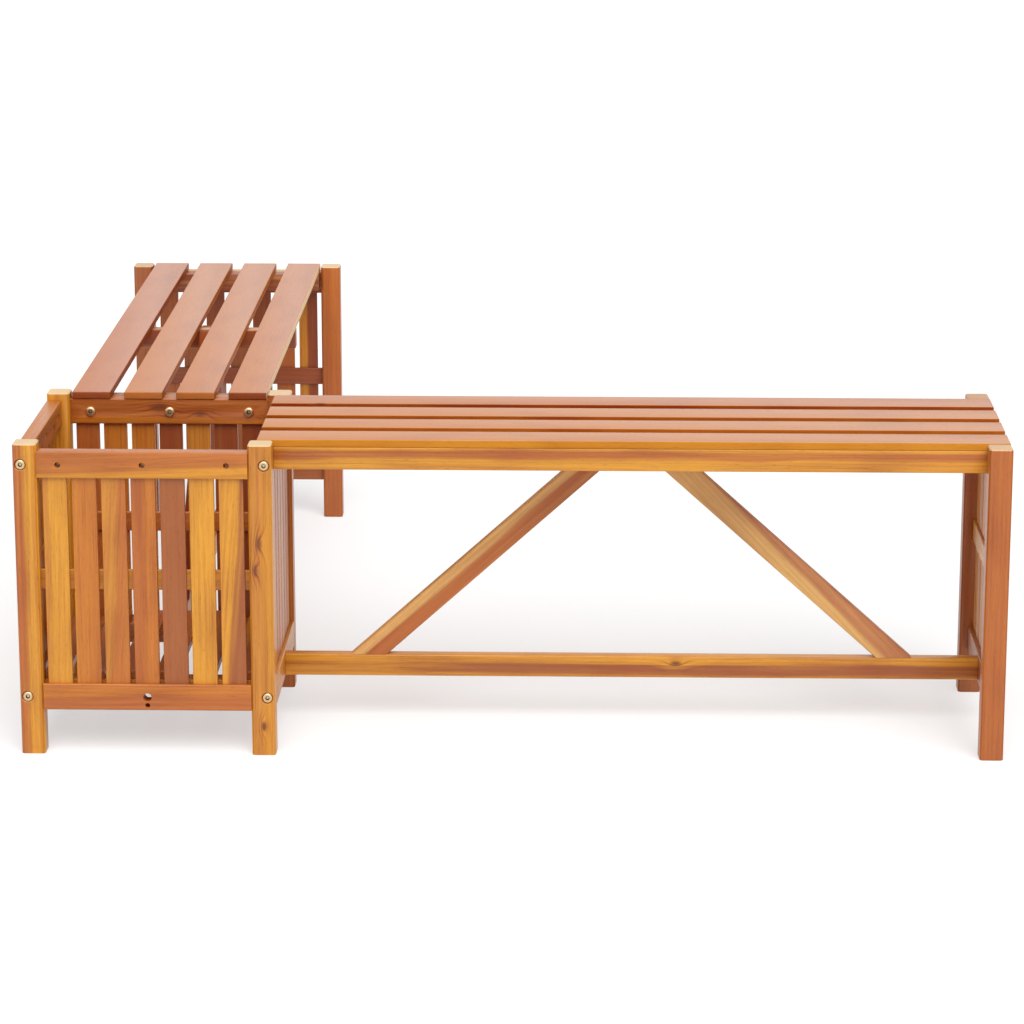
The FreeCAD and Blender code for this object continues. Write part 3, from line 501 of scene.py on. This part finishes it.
boardCuts = {
    # ends below 0 pale the post tops: a painted highlight of the light from above
    "planter_front_left_post": [cut("rust", "honey", begins=2.8, lean=3, ends=-0.8)],
    "planter_front_right_post": [cut("amber", "gold", begins=4, lean=12, ends=-0.8)],
    "planter_back_left_post": [cut("gold", "honey", side=-1, begins=2, ends=-0.8)],
    "planter_back_right_post": [cut("rust", ends=-0.8)],
    "planter_front_top_rail": [cut("copper", side=-1, begins=6.5, lean=40)],
    "planter_front_bottom_rail": [cut("rust", "orange", begins=5)],
    "planter_back_top_rail": [cut("rust", "orange", side=-1, begins=7, lean=-12, figure=1.2)],
    "planter_left_top_rail": [cut("rust", "orange", begins=9, lean=10)],
    "planter_right_top_rail": [cut("orange")],
    "planter_front_slats": [
        cut("amber", "honey", begins=-8, lean=20),
        cut("orange"),
        cut("copper", "amber", side=-1, begins=1, lean=70),
        cut("rust", "orange", begins=0),
        cut("dusky", "rust"),
        cut("gold", "honey", begins=-never),
        cut("dusky", "honey", side=-1, begins=-2, lean=76),
    ],
    "planter_back_slats": [
        cut("rust", "dusky"),
        cut("orange", "rust"),
        cut("orange"),
        cut("wine", "dusky"),
        cut("amber", "rust"),
        cut("wine", "dusky"),
        cut("wine", "dusky"),
    ],
    "planter_right_slats": [cut(tone, "amber") for tone in ("orange", "amber", "rust") * 2 + ("orange",)],
    "right_apron": [cut("rust", "honey", begins=9.9, middle=(5.2, 6))],
    "right_stretcher": [cut("dusky", "honey", begins=4.5, middle=(-3.5, 4))],
    "right_brace_near": [cut("rust", "straw", begins=-2, figure=0.8)],
    "right_brace_far": [cut("biscuit", "straw", side=-1, begins=2.5, lean=-70, figure=0.8)],
    # ends below 0 pale the tops of these posts: a painted highlight
    "right_end_front_post": [cut("rust", "rust", ends=-0.6)],
    "right_end_back_post": [cut("dusky", "rust", ends=-0.4)],
    "right_end_slats": [
        *(cut(tone, "straw", begins=4) for tone in ("amber", "gold", "orange") * 2 + ("amber",)),
    ],
    "right_end_batten": [cut("honey", "straw")],
    # edges above 0 darken these slats' long edges: painted shade in the gaps between the slats
    "right_seat_slat_1": [cut("orange", "amber", side=-1, begins=19.5, lean=6, figure=0.4)],
    "right_seat_slat_2": [cut("orange", "gold", figure=0.4, edges=0.5)],
    "right_seat_slat_3": [cut("orange", "amber", figure=0.4, edges=0.65)],
    "right_seat_slat_4": [cut("copper", "amber", figure=0.4, edges=0.75)],
    # edges above 0 paint shade on these slats' long sides; on the fourth slat, below 0, a painted highlight
    "left_seat_slat_1": [cut("rust", "rust", figure=0.25, ends=0.75, edges=0.7)],
    "left_seat_slat_2": [cut("copper", "copper", figure=0.25, ends=0.0, edges=0.45)],
    "left_seat_slat_3": [cut("copper", "orange", figure=0.25, ends=0.0, edges=0.35)],
    "left_seat_slat_4": [cut("copper", "orange", figure=0.4, ends=0.8, edges=-0.8)],
    "left_brace_near": [cut("wine", "dusky")],
    "left_brace_far": [cut("wine", "dusky")],
    "left_cross_rail_near": [cut("wine", "straw", begins=14)],
    "left_cross_rail_middle": [cut("wine", "straw", begins=14)],
    "left_cross_rail_far": [cut("wine", "straw", begins=14)],
    # ends below 0 pale the tops of these posts: a painted highlight
    "left_end_left_post": [cut("dusky", "rust", ends=-0.6)],
    "left_end_right_post": [cut("rust", "orange", ends=-0.8)],
    "left_end_top_rail": [cut("wine", "straw", begins=14)],
    "left_end_bottom_rail": [cut("dusky", "rust")],
    "left_end_batten": [cut("wine", "rust")],
    "left_end_slats": [
        *(cut(tone, "rust") for tone in ("rust", "dusky", "wine", "dusky", "wine", "rust")),
        cut("wine", side=-1, begins=0),
    ],
}
# Boards that hardly show are drawn from these.
ordinaryCuts = [
    cut("amber", begins=4),
    cut("orange", lean=10),
    cut("orange", side=-1, begins=6, lean=-10),
    cut("rust", "amber"),
    cut("rust", side=-1, begins=3, lean=15),
    cut("dusky", "orange"),
]


def boxOf(points):
    low = Vector([min(p[i] for p in points) for i in range(3)])
    high = Vector([max(p[i] for p in points) for i in range(3)])
    return low, high


def middleOf(mesh, members):
    return sum((mesh.vertices[i].co for i in members), Vector()) / len(members)


# The loose parts of a mesh, boards or bolts: the vertices of each, in the order in which they stand.
def partsOf(mesh):
    parent = list(range(len(mesh.vertices)))

    def root(i):
        while parent[i] != i:
            parent[i] = parent[parent[i]]
            i = parent[i]
        return i

    for e in mesh.edges:
        a, b = (root(i) for i in e.vertices)
        parent[a] = b
    groups = {}
    for i in range(len(parent)):
        groups.setdefault(root(i), []).append(i)
    return sorted(groups.values(), key=lambda g: tuple(round(c, 3) for c in middleOf(mesh, g)))


# The middle of a board and the ways along, across and through it. Its longest edge runs along it.
def boardFrame(mesh, members):
    def ends(e):
        return [mesh.vertices[i].co for i in e.vertices]

    def length(e):
        a, b = ends(e)
        return (a - b).length

    inside = set(members)
    a, b = ends(max((e for e in mesh.edges if e.vertices[0] in inside), key=length))
    along = (b - a).normalized()
    if max(along, key=abs) < 0:
        along = -along
    low, high = boxOf([mesh.vertices[i].co for i in members])
    square = [i for i in (1, 0, 2) if abs(along[i]) < 0.1]  # the world's axes that cross the board
    thin = Vector((0, 0, 0))
    thin[min(square, key=lambda i: round(high[i] - low[i], 4))] = 1  # Y before X before Z where they tie
    across = thin.cross(along).normalized()
    if (across.z if abs(across.z) > 0.1 else max(across, key=abs)) < 0:
        across = -across
    return (low + high) / 2, along, across, thin


boardAttributes = {
    "boardPlace": ("FLOAT_VECTOR", "vector"),
    "boardPith": ("FLOAT_VECTOR", "vector"),
    "boardHeart": ("FLOAT_COLOR", "color"),
    "boardSap": ("FLOAT_COLOR", "color"),
    "boardFigure": ("FLOAT", "value"),
    "boardEnds": ("FLOAT", "value"),
    "boardEdges": ("FLOAT", "value"),
}
chance = {
    "tilt": 0.02,  # how far the grain may run out of a board's face
    "start": 4000,  # how far up or down the tree the board may lie
    "pithFrom": 45,  # the middle of the tree is this far to the board's side, or up to pithTo
    "pithTo": 90,
    "pithThrough": 20,  # and up to this far before or behind it
}


# Tells every vertex where it lies in the tree and what the wood of its board looks like there.
# Returns for each vertex its board's middle, axes and half sizes.
def markBoards(piece, cuts):
    mesh = piece.data
    marks = {name: [None] * len(mesh.vertices) for name in boardAttributes}
    bodyOf = [None] * len(mesh.vertices)
    for number, members in enumerate(partsOf(mesh)):
        luck = random.Random(f"{piece.name} {number}")
        board = cuts[number] if number < len(cuts) else luck.choice(ordinaryCuts)
        middle, along, across, thin = boardFrame(mesh, members)
        tilt = luck.uniform(-chance["tilt"], chance["tilt"])
        grainAxis = (along + across * board["lean"] / 1000 + thin * tilt).normalized()
        wide = (across - grainAxis * across.dot(grainAxis)).normalized()
        deep = grainAxis.cross(wide)
        start = luck.uniform(-chance["start"], chance["start"])
        treeMiddle = board["middle"] or (
            -board["side"] * luck.uniform(chance["pithFrom"], chance["pithTo"]),
            luck.uniform(-chance["pithThrough"], chance["pithThrough"]),
        )
        boundary = max(0, board["begins"] - board["side"] * treeMiddle[0])
        axes = (along, across, thin)
        halves = [max(abs((mesh.vertices[i].co - middle).dot(axis)) for i in members) for axis in axes]
        alike = {
            "boardPith": (*treeMiddle, boundary),
            "boardHeart": linear(tones[board["heart"]]),
            "boardSap": linear(tones[board["sap"]]),
            "boardFigure": (board["figure"],),
            "boardEnds": (board["ends"],),
            "boardEdges": (board["edges"],),
        }
        for i in members:
            away = (mesh.vertices[i].co - middle) / mm
            marks["boardPlace"][i] = (away.dot(grainAxis) + start, away.dot(wide), away.dot(deep))
            for name, mark in alike.items():
                marks[name][i] = mark
            bodyOf[i] = (middle, axes, halves)
    for name, (kind, field) in boardAttributes.items():
        flat = [x for mark in marks[name] for x in mark]
        mesh.attributes.new(name, kind, "POINT").data.foreach_set(field, flat)
    return bodyOf


finishing = {
    "skin": 1.2,  # a face that lies deeper than this in the board's box was bored or grooved
    "edgeFacing": 0.7,  # how squarely a face looks across the board when it counts as its edge
    "endFacing": 0.45,  # and along the board when it counts as its end
}


def dress(piece, cuts):
    mesh = piece.data
    isSeat = "SeatSlat" in piece.name
    mesh.materials.clear()
    for finish in (seat if isSeat else planed, sawn, rough):
        mesh.materials.append(finish)
    bodyOf = markBoards(piece, cuts)
    skin = finishing["skin"] * mm
    for face in mesh.polygons:
        middle, axes, halves = bodyOf[face.vertices[0]]
        reaches = [abs((face.center - middle).dot(axis)) for axis in axes]
        isCut = all(reach < half - skin for reach, half in zip(reaches, halves))
        # the long edges of the seat slats are left as sawn, like the bores and grooves; their edge mark
        # paints shade on them between the slats, and a highlight on one
        if isCut or isSeat and abs(face.normal.dot(axes[1])) > finishing["edgeFacing"]:
            face.material_index = 2
        elif abs(face.normal.dot(axes[0])) > finishing["endFacing"]:
            face.material_index = 1


# The draft's mesh with its modifiers applied; the draft itself goes.
def bake(name, draft):
    made = bpy.data.meshes.new_from_object(draft.evaluated_get(bpy.context.evaluated_depsgraph_get()))
    made.name = name
    bpy.data.objects.remove(draft)
    return made


def settle(name, draft, slot, *nodes):
    piece = addObject(name, bake(name, draft))
    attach(piece, "root")
    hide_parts(*nodes)
    return piece


meshing = {
    "join": 0.001,  # vertices nearer than this become one
    "flat": 1,  # degrees between two faces that lie in one plane
    "outerEdge": 20,  # degrees from which an outer edge is rounded
    "boltEdge": 35,  # degrees from which an edge of a bolt stays sharp
}


def roundOff(draft, width):
    rounding = draft.modifiers.new("rounding", "BEVEL")
    rounding.width = width * mm
    rounding.segments = 2
    rounding.harden_normals = True
    return rounding


def joinedMesh(node):
    mesh = bmesh.new()
    mesh.from_mesh(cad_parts[node].data)
    bmesh.ops.remove_doubles(mesh, verts=mesh.verts, dist=meshing["join"] * mm)
    return mesh


# A board from the frame with its outer edges rounded and its bores and mortises left sharp inside.
def easedBoard(name, node, easing):
    mesh = joinedMesh(node)
    flat = math.radians(meshing["flat"])
    bmesh.ops.dissolve_limit(mesh, angle_limit=flat, verts=mesh.verts, edges=mesh.edges)
    weight = mesh.edges.layers.float.new("bevel_weight_edge")
    outer = math.radians(meshing["outerEdge"])
    for e in mesh.edges:
        if len(e.link_faces) == 2 and e.is_convex and e.calc_face_angle(0) > outer:
            e[weight] = 1.0
    made = bpy.data.meshes.new(name)
    mesh.to_mesh(made)
    mesh.free()
    draft = addObject(name + "Draft", made)
    for face in made.polygons:
        face.use_smooth = True
    roundOff(draft, easing).limit_method = "WEIGHT"
    return draft


def camel(node):
    first, *others = node.split("_")
    return first + "".join(word.capitalize() for word in others)


def makeTree(name, sockets):
    tree = bpy.data.node_groups.new(name, "GeometryNodeTree")
    tree.interface.new_socket("Geometry", in_out="INPUT", socket_type="NodeSocketGeometry")
    for title, kind in sockets.items():
        tree.interface.new_socket(title, in_out="INPUT", socket_type="NodeSocket" + kind)
    tree.interface.new_socket("Geometry", in_out="OUTPUT", socket_type="NodeSocketGeometry")
    return tree, addNode(tree, "NodeGroupInput").outputs


def grow(name, mesh, tree, sizes):
    draft = addObject(name + "Draft", mesh)
    grower = draft.modifiers.new(tree.name, "NODES")
    grower.node_group = tree
    identifiers = {s.name: s.identifier for s in tree.interface.items_tree if s.in_out == "INPUT"}
    for title, size in sizes.items():
        grower[identifiers[title]] = size
    return draft


# Boards of one size side by side: the upright slats of a side, or the boards of the planter's floor.
def makeBoardRow():
    wanted = {
        "Boards": "Int",
        "First": "Vector",
        "Step": "Vector",
        "Size": "Vector",
        "Slack": "Float",
        "Seed": "Int",
        "Finish": "Material",
    }
    tree, given = makeTree("boardRow", wanted)
    line = addNode(
        tree,
        "GeometryNodeMeshLine",
        {"Count": given["Boards"], "Start Location": given["First"], "Offset": given["Step"]},
        mode="OFFSET",
    )
    drift = addNode(
        tree, "FunctionNodeRandomValue", {"Min": -1.0, "Max": 1.0, "Seed": given["Seed"]}, data_type="FLOAT"
    )
    drift = addNode(tree, "ShaderNodeMath", {0: drift, 1: given["Slack"]}, operation="MULTIPLY")
    sideways = addNode(tree, "ShaderNodeVectorMath", {0: given["Step"]}, operation="NORMALIZE")
    sideways = addNode(tree, "ShaderNodeVectorMath", {0: sideways, "Scale": drift}, operation="SCALE")
    loose = addNode(tree, "GeometryNodeSetPosition", {"Geometry": line, "Offset": sideways})
    board = addNode(tree, "GeometryNodeMeshCube", {"Size": given["Size"]})
    boards = addNode(tree, "GeometryNodeInstanceOnPoints", {"Points": loose, "Instance": board})
    boards = addNode(tree, "GeometryNodeRealizeInstances", {"Geometry": boards})
    boards = addNode(tree, "GeometryNodeSetMaterial", {"Geometry": boards, "Material": given["Finish"]})
    addNode(tree, "NodeGroupOutput", {"Geometry": boards})
    return tree


rows = {
    "slack": 0.3,  # how far a slat may stand from its even place
    "easing": 0.8,
    "slats": 7,
    "slatWidth": {"planter": 29, "right": 27, "left": 27},
    "floorBoards": 6,
    "floorBoardWidth": 27,
}
boardRow = makeBoardRow()


# The row fills the box of the CAD node that it replaces.
def growRow(node, across, width, boards):
    low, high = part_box(node)
    size = high - low
    size[across] = width * mm
    first = (low + high) / 2
    first[across] = low[across] + width * mm / 2
    step = Vector()
    step[across] = (high[across] - low[across] - width * mm) / (boards - 1)
    sizes = {
        "Boards": boards,
        "First": first,
        "Step": step,
        "Size": size,
        "Slack": rows["slack"] * mm,
        "Seed": len(node),
        "Finish": planed,
    }
    draft = grow(camel(node), bpy.data.meshes.new(camel(node)), boardRow, sizes)
    roundOff(draft, rows["easing"])
    return draft


boardEasing = {"post_hardwood": 0.9, "frame_hardwood": 0.6, "seat_hardwood": 0.7}
for node in sorted(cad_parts):
    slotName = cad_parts[node].data.materials[0].name
    if slotName not in boardEasing:
        continue
    if node.endswith("slats"):
        low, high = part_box(node)
        across = 0 if high.x - low.x > high.y - low.y else 1
        draft = growRow(node, across, rows["slatWidth"][node.split("_")[0]], rows["slats"])
    elif node == "planter_floor_boards":
        draft = growRow(node, 0, rows["floorBoardWidth"], rows["floorBoards"])
    else:
        draft = easedBoard(camel(node), node, boardEasing[slotName])
    piece = settle(camel(node), draft, slotName, node)
    dress(piece, boardCuts.get(node, []))
print("boards dressed")


plating = {
    "mottle": 10 / 9,  # size of a blotch in the coat, nine to a centimetre
    "roughness": (0.3, 0.45),  # from the smoothest blotch to the dullest
    "bright": ("#d9bd92", "#ecd4ac"),
    # dark browns painted into the socket as its shade
    "soiled": ("#5a4630", "#7a6248"),
}


def makeZinc(name, shade, light):
    made = bpy.data.materials.new(name)
    made.use_nodes = True
    tree = made.node_tree
    tree.nodes.clear()
    where = addNode(tree, "ShaderNodeTexCoord").outputs["Object"]
    mottle = addNode(
        tree, "ShaderNodeTexNoise", {"Vector": where, "Scale": 1 / (plating["mottle"] * mm), "Detail": 2.0}
    )
    tint = addNode(
        tree, "ShaderNodeMix", {"Factor": mottle, "A": linear(shade), "B": linear(light)}, data_type="RGBA"
    )
    smooth, dull = plating["roughness"]
    dull = addNode(tree, "ShaderNodeMapRange", {"Value": mottle, "To Min": smooth, "To Max": dull})
    skin = addNode(tree, "ShaderNodeBsdfPrincipled", {"Base Color": tint, "Metallic": 1.0, "Roughness": dull})
    addNode(tree, "ShaderNodeOutputMaterial", {"Surface": skin})
    return made


# Zinc-plated and yellow-passivated steel: a thin bright coat, faintly warm, that dulls the steel's mirror.
zinc = makeZinc("yellowZincPlatedSteel", *plating["bright"])
# The same zinc painted dark brown inside the socket: painted shade of the hollow, where little light gets in.
socketShadeZinc = makeZinc("zincPlatedSteelInSocket", *plating["soiled"])


# The outline of a bolt from the socket's bottom out over the head and down the shank: what its radius is a
# share of, that share, what its height is a share of, and that share.
boltOutline = [
    ("Socket", 0.0, "Head Height", 0.3),
    ("Socket", 0.275, "Head Height", 0.3),
    ("Socket", 0.5, "Head Height", 0.3),
    ("Socket", 0.5, "Head Height", 1.0),
    ("Head Width", 0.31, "Head Height", 1.0),
    ("Head Width", 0.42, "Head Height", 0.9),
    ("Head Width", 0.48, "Head Height", 0.66),
    ("Head Width", 0.5, "Head Height", 0.32),
    ("Head Width", 0.5, "Head Height", 0.0),
    ("Shank", 0.5, "Head Height", 0.0),
    ("Shank", 0.5, "Length", -1.0),
    ("Shank", 0.0, "Length", -1.0),
]
lastSocketRow = 3
# the rows of the socket that are painted dark as its shade
socketShadeRows = (1.2, 2.8)  # from the rim of the bright spot on the socket's floor to the top of its wall


# A turned head with a hexagon socket and a plain shank, set on every point with its head along "heading".
def makeBoltSet():
    wanted = {
        "Sides": "Int",
        "Head Width": "Float",
        "Head Height": "Float",
        "Socket": "Float",
        "Shank": "Float",
        "Length": "Float",
        "Seed": "Int",
        "Finish": "Material",
        "Socket Finish": "Material",
    }
    tree, given = makeTree("boltSet", wanted)

    # a flat sheet, one column for each side and one row for each point of the outline
    columns = addNode(tree, "ShaderNodeMath", {0: given["Sides"], 1: 1.0}, operation="ADD")
    sheet = addNode(
        tree,
        "GeometryNodeMeshGrid",
        {"Size X": 1.0, "Size Y": 1.0, "Vertices X": columns, "Vertices Y": len(boltOutline)},
    )
    place = addNode(tree, "GeometryNodeInputPosition")
    place = addNode(tree, "ShaderNodeSeparateXYZ", {0: place}).outputs
    level = addNode(tree, "ShaderNodeMath", {0: place["Y"], 1: 0.5}, operation="ADD")
    level = addNode(tree, "ShaderNodeMath", {0: level, 1: len(boltOutline) - 1.0}, operation="MULTIPLY")
    row = addNode(tree, "ShaderNodeMath", {0: level}, operation="ROUND")
    angle = addNode(tree, "ShaderNodeMath", {0: place["X"], 1: 0.5}, operation="ADD")
    angle = addNode(tree, "ShaderNodeMath", {0: angle, 1: math.tau}, operation="MULTIPLY")

    # the finishes go on while the sheet is flat, because a selection reads the present positions
    # the socket's floor ring and wall take the zinc painted dark as shade
    above = addNode(tree, "ShaderNodeMath", {0: level, 1: socketShadeRows[0]}, operation="GREATER_THAN")
    below = addNode(tree, "ShaderNodeMath", {0: level, 1: socketShadeRows[1]}, operation="LESS_THAN")
    recess = addNode(tree, "ShaderNodeMath", {0: above, 1: below}, operation="MULTIPLY")
    bolt = addNode(tree, "GeometryNodeSetMaterial", {"Geometry": sheet, "Material": given["Finish"]})
    bolt = addNode(
        tree,
        "GeometryNodeSetMaterial",
        {"Geometry": bolt, "Selection": recess, "Material": given["Socket Finish"]},
    )

    radius, height = (addNode(tree, "GeometryNodeIndexSwitch", data_type="FLOAT") for _ in range(2))
    for chooser in (radius, height):
        for _ in boltOutline[2:]:
            chooser.index_switch_items.new()
        tree.links.new(row.outputs[0], chooser.inputs["Index"])
    for number, (width, widthShare, rise, riseShare) in enumerate(boltOutline):
        for chooser, size, share in ((radius, width, widthShare), (height, rise, riseShare)):
            scaled = addNode(tree, "ShaderNodeMath", {0: given[size], 1: share}, operation="MULTIPLY")
            tree.links.new(scaled.outputs[0], chooser.inputs[number + 1])

    # the socket's rows stretch from a circle to a hexagon
    sixth = addNode(tree, "ShaderNodeMath", {0: angle, 1: math.tau / 6}, operation="MODULO")
    sixth = addNode(tree, "ShaderNodeMath", {0: sixth, 1: math.tau / 12}, operation="SUBTRACT")
    corner = addNode(tree, "ShaderNodeMath", {0: sixth}, operation="COSINE")
    corner = addNode(tree, "ShaderNodeMath", {0: 1.0, 1: corner}, operation="DIVIDE")
    corner = addNode(tree, "ShaderNodeMath", {0: corner, 1: 1.0}, operation="SUBTRACT")
    inSocket = addNode(tree, "ShaderNodeMath", {0: row, 1: lastSocketRow + 0.5}, operation="LESS_THAN")
    stretch = addNode(tree, "ShaderNodeMath", {0: corner, 1: inSocket, 2: 1.0}, operation="MULTIPLY_ADD")
    radius = addNode(tree, "ShaderNodeMath", {0: radius, 1: stretch}, operation="MULTIPLY")

    cosine = addNode(tree, "ShaderNodeMath", {0: angle}, operation="COSINE")
    sine = addNode(tree, "ShaderNodeMath", {0: angle}, operation="SINE")
    turned = {
        "X": addNode(tree, "ShaderNodeMath", {0: radius, 1: cosine}, operation="MULTIPLY"),
        "Y": addNode(tree, "ShaderNodeMath", {0: radius, 1: sine}, operation="MULTIPLY"),
        "Z": height,
    }
    turned = addNode(tree, "ShaderNodeCombineXYZ", turned)
    bolt = addNode(tree, "GeometryNodeSetPosition", {"Geometry": bolt, "Position": turned})
    # merging closes the seam between the first and the last column and the points at both ends
    bolt = addNode(tree, "GeometryNodeMergeByDistance", {"Geometry": bolt, "Distance": 0.01 * mm})

    heading = addNode(tree, "GeometryNodeInputNamedAttribute", {"Name": "heading"}, data_type="FLOAT_VECTOR")
    facing = addNode(tree, "FunctionNodeAlignRotationToVector", {"Vector": heading}, axis="Z")
    roll = addNode(
        tree,
        "FunctionNodeRandomValue",
        {"Min": 0.0, "Max": math.tau, "Seed": given["Seed"]},
        data_type="FLOAT",
    )
    roll = addNode(tree, "ShaderNodeCombineXYZ", {"Z": roll})
    roll = addNode(tree, "FunctionNodeEulerToRotation", {0: roll})
    facing = addNode(
        tree, "FunctionNodeRotateRotation", {"Rotation": facing, "Rotate By": roll}, rotation_space="LOCAL"
    )
    bolts = addNode(
        tree,
        "GeometryNodeInstanceOnPoints",
        {"Points": given["Geometry"], "Instance": bolt, "Rotation": facing},
    )
    bolts = addNode(tree, "GeometryNodeRealizeInstances", {"Geometry": bolts})
    bolts = addNode(tree, "GeometryNodeSetShadeSmooth", {"Geometry": bolts})
    addNode(tree, "NodeGroupOutput", {"Geometry": bolts})
    return tree


boltSet = makeBoltSet()
bolts = {"Sides": 42, "Head Width": 12.4, "Head Height": 3.0, "Socket": 5.0, "Shank": 5.8}
screws = {"Sides": 18, "Head Width": 7.0, "Head Height": 1.2, "Socket": 2.6, "Shank": 3.5, "Length": 24.0}


def pointCloud(name, spots):
    made = bpy.data.meshes.new(name)
    made.from_pydata([spot for spot, _ in spots], [], [])
    headings = made.attributes.new("heading", "FLOAT_VECTOR", "POINT")
    headings.data.foreach_set("vector", [c for _, way in spots for c in way])
    return made


def growBolts(name, spots, sizes, seed):
    given = {key: size if key == "Sides" else size * mm for key, size in sizes.items()}
    given.update({"Seed": seed, "Finish": zinc, "Socket Finish": socketShadeZinc})
    made = bake(name, grow(name, pointCloud(name, spots), boltSet, given))
    made.set_sharp_from_angle(angle=math.radians(meshing["boltEdge"]))
    return addObject(name, made)


# Where each bolt of a CAD node has the seat of its head, the way its head points, and its length.
def boltSpots(node):
    mesh = joinedMesh(node)
    merged = bpy.data.meshes.new("bolts")
    mesh.to_mesh(merged)
    mesh.free()
    spots = []
    for members in partsOf(merged):
        low, high = boxOf([merged.vertices[i].co for i in members])
        axis = 0 if high.x - low.x > high.y - low.y else 1
        seatPlace = (low + high) / 2
        seatPlace[axis] = low[axis] + bolts["Head Height"] * mm
        way = [0, 0, 0]
        way[axis] = -1
        spots.append((seatPlace, way, (high[axis] - low[axis]) / mm - bolts["Head Height"]))
    bpy.data.meshes.remove(merged)
    return spots


for node, seed in (("corner_bolts", 3), ("joining_bolts", 8)):
    spots = boltSpots(node)
    sizes = {**bolts, "Length": spots[0][2]}
    piece = growBolts(camel(node), [spot[:2] for spot in spots], sizes, seed)
    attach(piece, "root")
    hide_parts(node)

# One screw goes up through each cross rail into each seat slat.
for side, across, seed in (("right", 1, 6), ("left", 0, 5)):
    spots = []
    for rail in ("near", "middle", "far"):
        low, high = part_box(f"{side}_cross_rail_{rail}")
        for slat in range(1, 5):
            slatLow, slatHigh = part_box(f"{side}_seat_slat_{slat}")
            spot = (low + high) / 2
            spot.z = low.z
            spot[across] = (slatLow[across] + slatHigh[across]) / 2
            spots.append((spot, (0, 0, -1)))
    piece = growBolts(side + "SeatScrews", spots, screws, seed)
    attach(piece, "root")
print("bolts and screws set")

low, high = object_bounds()
